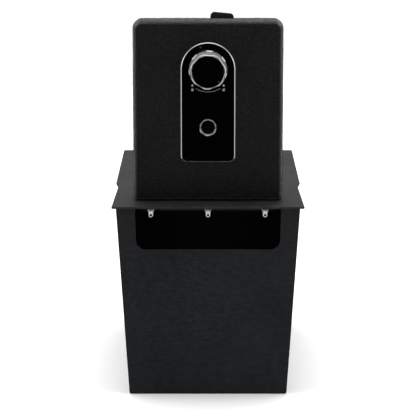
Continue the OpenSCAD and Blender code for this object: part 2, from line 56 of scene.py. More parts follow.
# ------------------------------------------------------------------ camera
cam_data = bpy.data.cameras.new("camera")
cam = bpy.data.objects.new("camera", cam_data)
bpy.context.scene.collection.objects.link(cam)
cam.location = (0, -2.49325, 0.723)
cam.rotation_euler = (math.radians(77.5), 0, 0)
cam_data.sensor_width = 36
cam_data.lens = 197.65
cam_data.clip_start, cam_data.clip_end = 0.05, 60
bpy.context.scene.camera = cam
bpy.context.scene.view_settings.view_transform = "Standard"
bpy.context.scene.view_settings.look = "None"


# ------------------------------------------------------------------ materials
class Mat:
    """A node material under construction: coordinates, patterns and the shader."""

    def __init__(self, name, **sockets):
        self.m = bpy.data.materials.new(name)
        self.m.use_nodes = True
        self.nt = self.m.node_tree
        self.b = self.nt.nodes["Principled BSDF"]
        self.co = self.nt.nodes.new("ShaderNodeTexCoord").outputs["Object"]
        for k, v in sockets.items():
            self.put(k, v)

    def put(self, socket, value):
        s = self.b.inputs[socket.replace("_", " ")]
        if isinstance(value, bpy.types.NodeSocket):
            self.nt.links.new(value, s)
        else:
            s.default_value = (*value, 1) if hasattr(value, "__len__") and len(value) == 3 and s.type == "RGBA" else value

    def node(self, kind, **props):
        n = self.nt.nodes.new(kind)
        for k, v in props.items():
            setattr(n, k, v)
        return n

    def link(self, a, b):
        self.nt.links.new(a, b)

    def mapped(self, scale):
        n = self.node("ShaderNodeMapping")
        self.link(self.co, n.inputs["Vector"])
        n.inputs["Scale"].default_value = scale
        return n.outputs["Vector"]

    def noise(self, scale, detail=2.0, rough=0.55, vector=None, distortion=0.0):
        n = self.node("ShaderNodeTexNoise")
        n.inputs["Scale"].default_value = scale
        n.inputs["Detail"].default_value = detail
        n.inputs["Roughness"].default_value = rough
        n.inputs["Distortion"].default_value = distortion
        self.link(vector or self.co, n.inputs["Vector"])
        return n.outputs["Fac"]

    def cells(self, scale, feature="F1", vector=None, randomness=1.0, out="Distance"):
        n = self.node("ShaderNodeTexVoronoi", feature=feature)
        n.inputs["Scale"].default_value = scale
        n.inputs["Randomness"].default_value = randomness
        self.link(vector or self.co, n.inputs["Vector"])
        return n.outputs[out]

    def wave(self, scale, vector=None, distortion=0.0, direction="X"):
        n = self.node("ShaderNodeTexWave", wave_type="BANDS", bands_direction=direction)
        n.inputs["Scale"].default_value = scale
        n.inputs["Distortion"].default_value = distortion
        self.link(vector or self.co, n.inputs["Vector"])
        return n.outputs["Fac"]

    def span(self, value, a, b, lo=0.0, hi=1.0):
        n = self.node("ShaderNodeMapRange")
        n.clamp = True
        self.link(value, n.inputs["Value"])
        for k, v in (("From Min", lo), ("From Max", hi), ("To Min", a), ("To Max", b)):
            n.inputs[k].default_value = v
        return n.outputs["Result"]

    def math(self, op, a, b=None, c=None):
        n = self.node("ShaderNodeMath", operation=op)
        for i, v in enumerate((a, b, c)):
            if v is None:
                continue
            if isinstance(v, bpy.types.NodeSocket):
                self.link(v, n.inputs[i])
            else:
                n.inputs[i].default_value = v
        return n.outputs[0]

    def tint(self, fac, c0, c1):
        n = self.node("ShaderNodeMix", data_type="RGBA")
        self.link(fac, n.inputs["Factor"])
        n.inputs["A"].default_value = (*c0, 1)
        n.inputs["B"].default_value = (*c1, 1)
        return n.outputs["Result"]

    def bump(self, height, distance, strength=1.0, under=None):
        n = self.node("ShaderNodeBump")
        n.inputs["Strength"].default_value = strength
        n.inputs["Distance"].default_value = distance
        self.link(height, n.inputs["Height"])
        if under is not None:
            self.link(under, n.inputs["Normal"])
        return n.outputs["Normal"]


def powder_coat(name="powder_coat_black", gain=(1, 1, 1)):
    t = Mat(name, Specular_IOR_Level=0.27)
    big, peel, grain = t.noise(14, 3), t.noise(620, 2.5, 0.6), t.noise(2300, 2, 0.6)
    mottle = t.noise(1, 2, 0.6, t.mapped((120, 120, 260)))
    tone = t.math("ADD", t.math("MULTIPLY", big, 0.3), t.math("ADD", t.math("MULTIPLY", mottle, 0.4), t.math("MULTIPLY", grain, 0.3)))
    t.put("Base_Color", t.tint(t.span(tone, 0, 1, 0.36, 0.64), tuple(g * c for g, c in zip(gain, (0.0061, 0.0069, 0.0087))), tuple(g * c for g, c in zip(gain, (0.0150, 0.0166, 0.0203)))))
    t.put("Roughness", t.span(t.math("ADD", t.math("MULTIPLY", peel, 0.4), t.math("MULTIPLY", mottle, 0.6)), 0.41, 0.57, 0.32, 0.68))
    t.put("Normal", t.bump(grain, 0.00012, 0.8, t.bump(peel, 0.00022, 0.8)))
    return t.m


def chrome(name="chrome_bright", low=0.05, high=0.12, base=(0.80, 0.81, 0.825)):
    t = Mat(name, Metallic=1.0)
    haze, fine = t.noise(160, 3), t.noise(900, 2)
    t.put("Base_Color", t.tint(t.span(haze, 0, 1, 0.35, 0.65), tuple(c * 0.94 for c in base), base))
    t.put("Roughness", t.span(haze, low, high, 0.35, 0.7))
    t.put("Normal", t.bump(fine, 0.00001, 0.35))
    return t.m


def knob_plate():
    """Satin plate on the knob's side, with fine drawn lines, and a polished lip at its front edge."""
    t = Mat("knob_plate")
    xyz = t.node("ShaderNodeSeparateXYZ")
    t.link(t.co, xyz.inputs[0])
    side = t.math("MULTIPLY", t.span(xyz.outputs["Y"], 0.0, 1.0, (LID_Y - 16.6) * MM, (LID_Y - 15.9) * MM),
                  t.span(xyz.outputs["Y"], 1.0, 0.0, (LID_Y - 3.5) * MM, (LID_Y - 3.0) * MM))
    turn = t.math("ARCTAN2", t.math("SUBTRACT", xyz.outputs["Z"], (TOP + KNOB_Z) * MM), xyz.outputs["X"])
    lines = t.math("SINE", t.math("MULTIPLY", turn, 210.0))
    haze, fine = t.noise(160, 3), t.noise(1500, 2)
    t.put("Base_Color", t.tint(t.span(haze, 0, 1, 0.35, 0.65), (0.70, 0.71, 0.73), (0.78, 0.79, 0.81)))
    t.put("Roughness", t.math("ADD", t.span(haze, 0.11, 0.17, 0.35, 0.7), t.math("MULTIPLY", side, 0.2)))
    t.put("Metallic", t.math("SUBTRACT", 1.0, t.math("MULTIPLY", side, 0.26)))
    rough = t.math("MULTIPLY", side, t.math("ADD", t.math("MULTIPLY", lines, 0.5), fine))
    t.put("Normal", t.bump(rough, 0.00003, 0.6))
    return t.m


def nickel():
    """Bright plate on the stamped key tabs."""
    t = Mat("nickel_bright", Metallic=1.0)
    cloud, fine = t.noise(420, 3, 0.6), t.noise(1800, 2)
    t.put("Base_Color", t.tint(t.span(cloud, 0, 1, 0.3, 0.7), (0.72, 0.72, 0.725), (0.84, 0.84, 0.84)))
    t.put("Roughness", t.span(cloud, 0.2, 0.28, 0.35, 0.65))
    t.put("Normal", t.bump(fine, 0.00002, 0.4))
    return t.m


def zinc(name="zinc_bright", base=(0.60, 0.61, 0.62), low=0.22, high=0.38, tinted=(0.56, 0.575, 0.60)):
    t = Mat(name, Metallic=1.0)
    cloud, roll = t.noise(210, 3, 0.6), t.noise(1, 2, 0.5, t.mapped((240, 240, 3600)))
    t.put("Base_Color", t.tint(t.span(cloud, 0, 1, 0.3, 0.7), tinted, base))
    t.put("Roughness", t.span(t.math("ADD", t.math("MULTIPLY", cloud, 0.6), t.math("MULTIPLY", roll, 0.4)), low, high, 0.35, 0.65))
    t.put("Normal", t.bump(roll, 0.00002, 0.5))
    return t.m


def gloss_black():
    t = Mat("gloss_black", Specular_IOR_Level=0.3)
    haze, grain = t.noise(38, 4, 0.65), t.noise(1500, 2)
    t.put("Base_Color", t.tint(t.span(haze, 0, 1, 0.35, 0.7), (0.0004, 0.0004, 0.0005), (0.0009, 0.0009, 0.0010)))
    t.put("Roughness", t.span(haze, 0.05, 0.15, 0.4, 0.72))
    t.put("Normal", t.bump(grain, 0.000004, 0.3))
    return t.m


def moulded(name="moulded_black", base=(0.016, 0.016, 0.0175), rough=(0.5, 0.66)):
    t = Mat(name, Specular_IOR_Level=0.45)
    spark, flow = t.cells(1500, "SMOOTH_F1"), t.noise(30, 3)
    t.put("Base_Color", t.tint(t.span(flow, 0, 1, 0.3, 0.7), tuple(c * 0.85 for c in base), tuple(c * 1.15 for c in base)))
    t.put("Roughness", t.span(flow, *rough, 0.3, 0.7))
    t.put("Normal", t.bump(spark, 0.00009, 0.7))
    return t.m


def carpet(name="needle_felt_black", sheen=0.88):
    t = Mat(name, Specular_IOR_Level=0.2, Sheen_Weight=sheen, Sheen_Roughness=0.385, Sheen_Tint=(0.97, 0.98, 1.0))
    clump, fibre, big = t.noise(420, 4, 0.7, distortion=0.6), t.noise(1700, 3, 0.7, distortion=1.2), t.noise(26, 3, 0.6)
    lie = t.noise(1, 2, 0.6, t.mapped((150, 150, 430)))
    tone = t.math("ADD", t.math("MULTIPLY", t.math("ADD", clump, lie), 0.32), t.math("ADD", t.math("MULTIPLY", fibre, 0.21), t.math("MULTIPLY", big, 0.15)))
    t.put("Base_Color", t.tint(t.span(tone, 0, 1, 0.425, 0.605), (0.0002, 0.0002, 0.0004), (0.0066, 0.0069, 0.0082)))
    t.put("Roughness", t.span(fibre, 0.82, 0.98, 0.3, 0.7))
    t.put("Normal", t.bump(fibre, 0.00035, 0.9, t.bump(clump, 0.00055, 0.9, t.bump(lie, 0.0008, 0.9))))
    return t.m


def pile():
    t = Mat("pile_fibre_black", Specular_IOR_Level=0.4, Sheen_Weight=0.12, Sheen_Roughness=0.4)
    vary = t.noise(900, 1)
    t.put("Base_Color", t.tint(t.span(vary, 0, 1, 0.35, 0.65), (0.0018, 0.0018, 0.0020), (0.0066, 0.0066, 0.0072)))
    t.put("Roughness", t.span(vary, 0.45, 0.7, 0.3, 0.7))
    return t.m


def webbing():
    t = Mat("webbing_black", Specular_IOR_Level=0.3, Sheen_Weight=0.2, Sheen_Roughness=0.5)
    rib = t.math("MULTIPLY", t.wave(230, direction="X"), t.span(t.wave(310, direction="Z"), 0.6, 1.0))
    fuzz = t.noise(1300, 3, 0.6)
    t.put("Base_Color", t.tint(t.math("MULTIPLY", rib, fuzz), (0.004, 0.004, 0.0045), (0.02, 0.02, 0.0215)))
    t.put("Roughness", t.span(fuzz, 0.65, 0.85, 0.3, 0.7))
    t.put("Normal", t.bump(rib, 0.00018, 0.8, t.bump(fuzz, 0.00008, 0.6)))
    return t.m


def printed(name="print_pale_grey", low=(0.24, 0.24, 0.245), high=(0.38, 0.38, 0.385)):
    t = Mat(name, Specular_IOR_Level=0.3)
    ink = t.noise(1400, 3, 0.6)
    t.put("Base_Color", t.tint(t.span(ink, 0, 1, 0.3, 0.6), low, high))
    t.put("Roughness", t.span(ink, 0.4, 0.6))
    return t.m


def lens():
    t = Mat("smoked_lens", Specular_IOR_Level=0.5, Coat_Weight=0.4, Coat_Roughness=0.05)
    c = t.cells(1800)
    t.put("Base_Color", t.tint(t.span(c, 0, 1, 0, 0.6), (0.05, 0.055, 0.055), (0.018, 0.02, 0.02)))
    t.put("Roughness", t.span(c, 0.12, 0.3, 0, 0.6))
    return t.m


def reader_glass():
    t = Mat("reader_glass", Specular_IOR_Level=0.35, Coat_Weight=0.3, Coat_Roughness=0.04)
    grid, haze = t.cells(1600, randomness=0.25), t.noise(260, 3)
    t.put("Base_Color", t.tint(t.span(grid, 0, 1, 0.1, 0.55), (0.0024, 0.0025, 0.003), (0.0007, 0.0007, 0.0009)))
    t.put("Roughness", t.span(haze, 0.1, 0.24, 0.3, 0.7))
    t.put("Normal", t.bump(grid, 0.00001, 0.3))
    return t.m


def foam():
    t = Mat("closed_cell_foam", Specular_IOR_Level=0.3)
    pore, soft = t.cells(900), t.noise(60, 3)
    t.put("Base_Color", t.tint(t.span(pore, 0, 1, 0.05, 0.6), (0.006, 0.006, 0.0065), (0.019, 0.019, 0.020)))
    t.put("Roughness", t.span(soft, 0.8, 0.95, 0.3, 0.7))
    t.put("Normal", t.bump(pore, 0.0003, 0.8, t.bump(soft, 0.0006, 0.5)))
    return t.m


def board():
    t = Mat("raw_board", Specular_IOR_Level=0.3)
    grain = t.noise(1, 4, 0.6, t.mapped((260, 60, 900)))
    t.put("Base_Color", t.tint(t.span(grain, 0, 1, 0.3, 0.7), (0.20, 0.14, 0.085), (0.36, 0.27, 0.17)))
    t.put("Roughness", t.span(grain, 0.75, 0.92))
    t.put("Normal", t.bump(grain, 0.0002, 0.6))
    return t.m


def brass():
    t = Mat("machined_brass", Metallic=1.0)
    turn, dull = t.noise(1, 2, 0.5, t.mapped((300, 5200, 300))), t.noise(120, 3)
    t.put("Base_Color", t.tint(t.span(dull, 0, 1, 0.3, 0.7), (0.52, 0.39, 0.17), (0.72, 0.56, 0.27)))
    t.put("Roughness", t.span(turn, 0.22, 0.42, 0.35, 0.65))
    t.put("Normal", t.bump(turn, 0.00002, 0.6))
    return t.m


def coil():
    t = Mat("taped_coil", Specular_IOR_Level=0.5)
    wrap, dust = t.wave(95, direction="X"), t.noise(300, 3)
    t.put("Base_Color", t.tint(t.math("MULTIPLY", wrap, dust), (0.10, 0.10, 0.11), (0.30, 0.30, 0.32)))
    t.put("Roughness", t.span(dust, 0.35, 0.6, 0.3, 0.7))
    t.put("Normal", t.bump(wrap, 0.0001, 0.6))
    return t.m


def solder_mask():
    t = Mat("solder_mask_green", Specular_IOR_Level=0.5)
    tracks = t.node("ShaderNodeTexBrick")
    tracks.inputs["Scale"].default_value = 170
    tracks.inputs["Color1"].default_value = (0.02, 0.12, 0.05, 1)
    tracks.inputs["Color2"].default_value = (0.022, 0.15, 0.062, 1)
    tracks.inputs["Mortar"].default_value = (0.035, 0.22, 0.09, 1)
    turned = t.node("ShaderNodeMapping")
    turned.inputs["Rotation"].default_value = (math.pi / 2, 0, 0)
    t.link(t.co, turned.inputs["Vector"])
    t.link(turned.outputs["Vector"], tracks.inputs["Vector"])
    t.put("Base_Color", tracks.outputs["Color"])
    t.put("Roughness", t.span(t.noise(400, 3), 0.2, 0.4))
    t.put("Normal", t.bump(tracks.outputs["Fac"], 0.00004, 0.5))
    return t.m


def sleeve():
    t = Mat("battery_sleeve", Metallic=0.0, Specular_IOR_Level=0.5, Coat_Weight=0.3, Coat_Roughness=0.15)
    band, scuff = t.span(t.wave(8.5, direction="X"), 0, 1, 0.55, 0.6), t.noise(500, 4, 0.7)
    t.put("Base_Color", t.tint(band, (0.05, 0.05, 0.056), (0.20, 0.20, 0.215)))
    t.put("Roughness", t.span(scuff, 0.28, 0.5, 0.3, 0.7))
    return t.m


M = {
    "steel_black": powder_coat(), "liner_foam": foam(), "zinc_plate": zinc(), "lid_board": board(),
    "carpet_black": carpet(), "tab_black": webbing(), "chrome_trim": chrome(), "panel_gloss": gloss_black(),
    "print_grey": printed(), "led_lens": lens(), "sensor_dark": reader_glass(), "moulding_black": moulded(),
    "brass_bush": brass(), "coil_grey": coil(), "board_green": solder_mask(), "battery_case": sleeve(),
}
# a copy of the felt with less sheen for its sides and underside: painted shade
M["carpet_side"] = carpet("needle_felt_shaded_sides", 0.42)
# a lighter copy of the powder coat for the flange's flat faces: painted light, the same coat made brighter where light
# falls on it
M["flange_coat"] = powder_coat("powder_coat_painted_light", (1.85, 1.7, 1.4))
M["pile"] = pile()
M["knob_chrome"] = knob_plate()
M["pointer"] = printed("pointer_smoked", (0.020, 0.020, 0.021), (0.034, 0.034, 0.035))
M["hanger"] = nickel()
M["reader_plate"] = chrome("reader_plate", 0.08, 0.14, (0.63, 0.635, 0.645))

slot_of = {s["node"]: s["material_slot"] for s in frame["record"]["subparts"]}
for name, o in NODES.items():
    o.data.materials.clear()
    o.data.materials.append(M[slot_of[name]])
NODES["knob_pointer"].data.materials[0] = M["pointer"]
NODES["sensor_bezel"].data.materials[0] = M["reader_plate"]
# the flange's flat faces (top and underside) take the lighter copy and its upright faces the plain coat: painted light
# on the tops
flange = NODES["flange_plate"].data
flange.materials[0] = M["flange_coat"]
flange.materials.append(M["steel_black"])
for f in flange.polygons:
    f.material_index = int(abs(f.normal.z) < 0.5)
for name in ("key_hanger_left", "key_hanger_centre", "key_hanger_right"):
    NODES[name].data.materials[0] = M["hanger"]


# ------------------------------------------------------------------ mesh helpers
def piece(name, verts, faces, material, body, smooth=True, replaces=()):
    """A mesh from points in millimetres, riding on a body."""
    me = bpy.data.meshes.new(name)
    me.from_pydata([tuple(c * MM for c in v) for v in verts], [], [tuple(int(i) for i in f) for f in faces])
    me.validate()
    me.materials.append(material)
    if smooth:
        me.shade_smooth()
    o = bpy.data.objects.new(name, me)
    bpy.context.scene.collection.objects.link(o)
    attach(o, body)
    if replaces:
        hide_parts(*replaces)
    return o


def bevel(o, width, segments=3, angle=30):
    """Rounds the sharp edges of a carried-over part."""
    weld = o.modifiers.new("weld", "WELD")
    weld.merge_threshold = 1e-6
    flat = o.modifiers.new("flat", "DECIMATE")
    flat.decimate_type = "DISSOLVE"
    flat.angle_limit = math.radians(0.6)
    b = o.modifiers.new("bevel", "BEVEL")
    b.width, b.segments, b.limit_method, b.angle_limit = width * MM, segments, "ANGLE", math.radians(angle)
    b.harden_normals = True
    b.use_clamp_overlap = True
    return o


def on_lid(p):
    return (p[0], p[1] + LID_Y, p[2] + TOP)


def arc(cx, cz, r, a0, a1, n):
    return [(cx + r * math.cos(math.radians(a0 + (a1 - a0) * i / n)), cz + r * math.sin(math.radians(a0 + (a1 - a0) * i / n))) for i in range(n)]


def line(a, b, n):
    return [(a[0] + (b[0] - a[0]) * i / n, a[1] + (b[1] - a[1]) * i / n) for i in range(n)]


def rounded_box(x0, z0, x1, z1, rl, rh, nx, nz, nr):
    """A rounded rectangle with a fixed number of points on each side, so that insets of it match point to point. Anticlockwise in x, z."""
    p = line((x0 + rl, z0), (x1 - rl, z0), nx) + arc(x1 - rl, z0 + rl, rl, -90, 0, nr)
    p += line((x1, z0 + rl), (x1, z1 - rh), nz) + arc(x1 - rh, z1 - rh, rh, 0, 90, nr)
    p += line((x1 - rh, z1), (x0 + rh, z1), nx) + arc(x0 + rh, z1 - rh, rh, 90, 180, nr)
    p += line((x0, z1 - rh), (x0, z0 + rl), nz) + arc(x0 + rl, z0 + rl, rl, 180, 270, nr)
    return p


def arch(inset, n_arc, n_side, n_low, n_r):
    """The panel's outline, inset. Anticlockwise in x, z."""
    r, c = ARCH_R - inset, max(0.6, 6.8 - inset)
    z0 = PANEL_LOW - 1.1 + inset
    p = line((-r + c, z0), (r - c, z0), n_low) + arc(r - c, z0 + c, c, -90, 0, n_r)
    p += line((r, z0 + c), (r, KNOB_Z), n_side) + arc(0, KNOB_Z, r, 0, 180, n_arc)
    p += line((-r, KNOB_Z), (-r, z0 + c), n_side) + arc(-r + c, z0 + c, c, 180, 270, n_r)
    return p


def ring_faces(n, a, b):
    """Quads between two closed rings of n points that start at a and b."""
    return [(a + i, a + (i + 1) % n, b + (i + 1) % n, b + i) for i in range(n)]


def inside(poly, pts):
    """Which of the points lie inside the closed polygon."""
    x, z = pts[:, 0], pts[:, 1]
    hit = np.zeros(len(pts), bool)
    p = np.asarray(poly)
    q = np.roll(p, -1, axis=0)
    for (x0, z0), (x1, z1) in zip(p, q):
        if z0 == z1:
            continue
        cross = ((z0 > z) != (z1 > z)) & (x < (x1 - x0) * (z - z0) / (z1 - z0) + x0)
        hit ^= cross
    return hit


def edge_distance(poly, pts):
    """Distance of each point to the closed polygon's edges."""
    best = np.full(len(pts), 1e9)
    p = np.asarray(poly)
    q = np.roll(p, -1, axis=0)
    for a, b in zip(p, q):
        d = b - a
        t = np.clip(((pts - a) @ d) / max(d @ d, 1e-12), 0, 1)
        best = np.minimum(best, np.hypot(*(pts - a - t[:, None] * d).T))
    return best


def fill(outer, holes, pitch, jitter=0.3, clear=0.55):
    """Triangulates the region inside outer and outside holes with an even spread of points. Returns points and faces; the loops' points come first, in order."""
    loops = [outer, *holes]
    pts, edges = [], []
    for loop in loops:
        k = len(pts)
        pts += [Vector(p) for p in loop]
        edges += [(k + i, k + (i + 1) % len(loop)) for i in range(len(loop))]
    fixed = len(pts)
    if pitch:
        o = np.asarray(outer)
        lo, hi = o.min(0), o.max(0)
        row = pitch * math.sqrt(3) / 2
        nx, nz = int((hi[0] - lo[0]) / pitch) + 2, int((hi[1] - lo[1]) / row) + 2
        gx, gz = np.meshgrid(np.arange(nx), np.arange(nz))
        grid = np.stack([lo[0] + (gx + 0.5 * (gz % 2)) * pitch, lo[1] + gz * row], -1).reshape(-1, 2)
        grid += rng.uniform(-jitter, jitter, grid.shape) * pitch
        keep = inside(outer, grid)
        for h in holes:
            keep &= ~inside(h, grid)
        grid = grid[keep]
        for loop in loops:
            grid = grid[edge_distance(loop, grid) > clear * pitch]
        pts += [Vector(p) for p in grid]
    v, _, f, orig, _, _ = delaunay_2d_cdt(pts, edges, [], 0, 1e-7, True)
    # back to the input order, so that the loops can be stitched
    new_of = {}
    for i, src in enumerate(orig):
        for s in src:
            new_of[s] = i
    where = [new_of[i] for i in range(len(pts))]
    back = {n: i for i, n in reversed(list(enumerate(where)))}
    out = np.array([tuple(p) for p in pts])
    tri = np.array([[back[i] for i in t] for t in f if all(i in back for i in t)])
    mid = out[tri].mean(1)
    keep = inside(outer, mid)
    for h in holes:
        keep &= ~inside(h, mid)
    tri = tri[keep]
    a, b, c = out[tri[:, 0]], out[tri[:, 1]], out[tri[:, 2]]
    area = (b[:, 0] - a[:, 0]) * (c[:, 1] - a[:, 1]) - (b[:, 1] - a[:, 1]) * (c[:, 0] - a[:, 0])
    tri[area < 0] = tri[area < 0][:, ::-1]
    return out, tri[np.abs(area) > 1e-10], fixed


def revolve(profile, cx, cz, n=128, phase=0.0):
    """A turned piece about an axis along Y, from (radius, y) points in lid coordinates. The profile is closed."""
    verts, faces, k = [], [], len(profile)
    for i in range(n):
        a = 2 * math.pi * i / n + phase
        verts += [on_lid((cx + r * math.cos(a), y, cz + r * math.sin(a))) for r, y in profile]
    for i in range(n):
        for j in range(k):
            a, b = i * k + j, i * k + (j + 1) % k
            c, d = ((i + 1) % n) * k + (j + 1) % k, ((i + 1) % n) * k + j
            faces.append((a, b, c, d))
    return verts, faces


def spline(points, n):
    """A smooth curve through 2-D points (centripetal Catmull-Rom), n steps between each two."""
    p = [np.array(q, float) for q in points]
    p = [2 * p[0] - p[1], *p, 2 * p[-1] - p[-2]]
    out = []
    for i in range(1, len(p) - 2):
        p0, p1, p2, p3 = p[i - 1:i + 3]
        t0, t1 = 0.0, np.linalg.norm(p1 - p0) ** 0.5
        t2 = t1 + np.linalg.norm(p2 - p1) ** 0.5
        t3 = t2 + np.linalg.norm(p3 - p2) ** 0.5
        for s in range(n):
            t = t1 + (t2 - t1) * s / n
            a1 = (t1 - t) / (t1 - t0) * p0 + (t - t0) / (t1 - t0) * p1
            a2 = (t2 - t) / (t2 - t1) * p1 + (t - t1) / (t2 - t1) * p2
            a3 = (t3 - t) / (t3 - t2) * p2 + (t - t2) / (t3 - t2) * p3
            b1 = (t2 - t) / (t2 - t0) * a1 + (t - t0) / (t2 - t0) * a2
            b2 = (t3 - t) / (t3 - t1) * a2 + (t - t1) / (t3 - t1) * a3
            out.append((t2 - t) / (t2 - t1) * b1 + (t - t1) / (t2 - t1) * b2)
    out.append(p[-2])
    return [tuple(q) for q in out]


# ------------------------------------------------------------------ carpet of the lid
def lump(p, seed, size):
    """Smooth value noise at 3-D points, about -1 to 1, with features of the given size."""
    g = np.random.default_rng(seed).uniform(-1, 1, (32, 32, 32))
    q = np.asarray(p) / size
    i = np.floor(q).astype(int)
    f = q - i
    f = f * f * (3 - 2 * f)
    v = 0
    for dx in (0, 1):
        for dy in (0, 1):
            for dz in (0, 1):
                w = np.abs(1 - dx - f[:, 0]) * np.abs(1 - dy - f[:, 1]) * np.abs(1 - dz - f[:, 2])
                v = v + w * g[(i[:, 0] + dx) % 32, (i[:, 1] + dy) % 32, (i[:, 2] + dz) % 32]
    return v


def carpet_outline(g):
    """The lid's outline, inset; the two upper corners are flatter than a circle's."""
    p = rounded_box(-LID_W / 2 + g, 0.3 + g, LID_W / 2 - g, LID_H - g, max(0.6, 5 - g), max(0.6, 8.8 - g), 128, 158, 12)
    r = max(0.6, 8.8 - g)
    cx, cz = LID_W / 2 - g - r, LID_H - g - r
    flat = lambda d: math.copysign(r * (abs(d) / r) ** 1.2, d)
    return [(math.copysign(cx + flat(abs(x) - cx), x), cz + flat(z - cz)) if abs(x) > cx and z > cz else (x, z) for x, z in p]


def make_carpet():
    n = len(carpet_outline(0))
    profile = [(2.45, 24.2), (2.2, 24.85), (1.4, 25.0), (0.6, 24.75), (0.12, 24.1)]
    profile += [(0.0, 23.2 - (23.2 - EDGE_D) * i / 12) for i in range(13)]
    profile += [(EDGE_R * (1 - math.cos(a)), EDGE_D * (1 - math.sin(a))) for a in (math.pi / 2 * i / 14 for i in range(1, 14))]
    verts, faces = [], []
    for g, y in profile:
        verts += [(x, y, z) for x, z in carpet_outline(g)]
    for k in range(len(profile) - 1):
        faces += ring_faces(n, k * n, (k + 1) * n)
    hole = arch(0.15, 84, 90, 44, 9)
    outer = carpet_outline(EDGE_R)
    flat, tri, fixed = fill(outer, [hole], 1.05)
    base = len(verts)
    d = edge_distance(hole, flat)
    rim = np.clip(1 - d / 2.2, 0, 1)
    e = np.clip(edge_distance(outer, flat) / 16, 0, 1)
    crown = -0.45 * (e * e * (3 - 2 * e)) * np.clip(d / 12, 0, 1)
    y = crown + 1.5 * rim ** 2
    verts += [(x, yy, z) for (x, z), yy in zip(flat, y)]
    faces += [tuple(base + i for i in t) for t in tri]
    faces += ring_faces(n, (len(profile) - 1) * n, base)
    skin = len(verts)
    outside = np.array(verts, float)

    # the inner side: a plain back, so that the carpet is a closed felt of its own thickness
    k = len(verts)
    hole_n = len(hole)
    verts += [(x, 23.4, z) for x, z in carpet_outline(2.45)]
    verts += [(x, 8.2, z) for x, z in carpet_outline(2.45)]
    verts += [(x, 4.0, z) for x, z in carpet_outline(3.9)]
    verts += [(x, 2.5, z) for x, z in carpet_outline(7.5)]
    faces += ring_faces(n, k, 0)
    for j in range(3):
        faces += ring_faces(n, k + (j + 1) * n, k + j * n)
    inner, tri, _ = fill(carpet_outline(7.5), [hole], 0)
    back = len(verts)
    verts += [(x, 2.5, z) for x, z in inner[n:]]
    faces += [tuple((k + 3 * n + i) if i < n else (back + i - n) for i in t[::-1]) for t in tri]
    front_hole = base + n
    faces += [(front_hole + (i + 1) % hole_n, front_hole + i, back + i, back + (i + 1) % hole_n) for i in range(hole_n)]

    v = np.array(verts, float)
    me = bpy.data.meshes.new("probe")
    me.from_pydata([tuple(p) for p in v], [], faces)
    me.update()
    normal = np.zeros(len(v) * 3, np.float32)
    me.vertices.foreach_get("normal", normal)
    normal = normal.reshape(-1, 3)
    bpy.data.meshes.remove(me)
    # felt surface: broad lie of the cloth, tufts, and loose ends
    amount = np.zeros(len(v))
    p = v[:skin]
    amount[:skin] = 0.1 * lump(p, 3, 13.0) + 0.1 * lump(p, 4, 2.6) + 0.15 * lump(p, 5, 1.25) + rng.uniform(-0.08, 0.08, skin)
    hold = np.ones(len(v))
    hold[base + n:base + n + hole_n] = 0.15
    hold[:n] = 0
    v += normal * (amount * hold)[:, None]
    o = piece("lid_carpet_felt", [on_lid(q) for q in v], faces, M["carpet_black"], "lid", replaces=("lid_carpet",))
    # the sides and the hinge edge of the felt take a copy of the felt with less sheen: painted shade that makes them
    # darker for how the light falls there
    o.data.materials.append(M["carpet_side"])
    for f in o.data.polygons:
        f.material_index = 1 if abs(f.normal.x) > 0.72 or f.normal.z < -0.3 else 0
    return o, v, np.array([t for t in (tuple(f) for f in faces if max(f) < skin)], dtype=object), normal


def make_pile(name, v, faces, count, keep, seed, length, lift, thick):
    """Loose fibres that arch out of the felt, as bent spindles."""
    r = np.random.default_rng(seed)
    tri = []
    for f in faces:
        tri.append((f[0], f[1], f[2]))
        if len(f) == 4:
            tri.append((f[0], f[2], f[3]))
    tri = np.array(tri, int)
    a, b, c = v[tri[:, 0]], v[tri[:, 1]], v[tri[:, 2]]
    cross = np.cross(b - a, c - a)
    area = np.linalg.norm(cross, axis=1) / 2
    ok = keep((a + b + c) / 3) & (area > 1e-6)
    tri, a, b, c, cross, area = tri[ok], a[ok], b[ok], c[ok], cross[ok], area[ok]
    pick = r.choice(len(tri), count, p=area / area.sum())
    u, w = r.random(count), r.random(count)
    flip = u + w > 1
    u[flip], w[flip] = 1 - u[flip], 1 - w[flip]
    p = a[pick] + u[:, None] * (b - a)[pick] + w[:, None] * (c - a)[pick]
    n = cross[pick] / (2 * area[pick])[:, None]
    t = np.cross(n, r.normal(size=(count, 3)))
    t /= np.linalg.norm(t, axis=1)[:, None]
    s = np.cross(n, t)
    ln = r.uniform(*length, count)[:, None]
    up = r.uniform(*lift, count)[:, None]
    th = r.uniform(*thick, count)[:, None]
    bend = r.uniform(-0.5, 0.5, count)[:, None] * ln
    ends = r.random(count)[:, None] < 0.35
    p0 = p - 0.12 * n
    p1 = p + t * ln * 0.33 + n * up * 0.85 + s * bend * 0.3
    p2 = p + t * ln * 0.70 + n * up + s * bend * 0.8
    p3 = p + t * ln + s * bend + np.where(ends, n * up * 1.15, -0.12 * n)
    rows = [p0]
    for q in (p1, p2):
        for k in range(3):
            g = 2 * math.pi * k / 3
            rows.append(q + th * (math.cos(g) * n + math.sin(g) * s))
    rows.append(p3)
    verts = np.stack(rows, 1).reshape(-1, 3)
    one = [(0, 2, 1), (0, 3, 2), (0, 1, 3)]
    for k in range(3):
        m = (k + 1) % 3
        one += [(1 + k, 1 + m, 4 + m, 4 + k)]
    one += [(4, 5, 7), (5, 6, 7), (6, 4, 7)]
    out = []
    for i in range(count):
        out += [tuple(i * 8 + j for j in f) for f in one]
    return piece(name, [on_lid(q) for q in verts], out, M["pile"], "lid")


felt, felt_v, felt_f, felt_n = make_carpet()
make_pile("carpet_pile_front", felt_v, felt_f, 15000, lambda q: q[:, 1] < 1.6, 21, (1.0, 2.6), (0.12, 0.55), (0.035, 0.075))
make_pile("carpet_pile_edges", felt_v, felt_f, 15000, lambda q: q[:, 1] >= 1.6, 22, (1.0, 2.6), (0.15, 0.7), (0.035, 0.075))


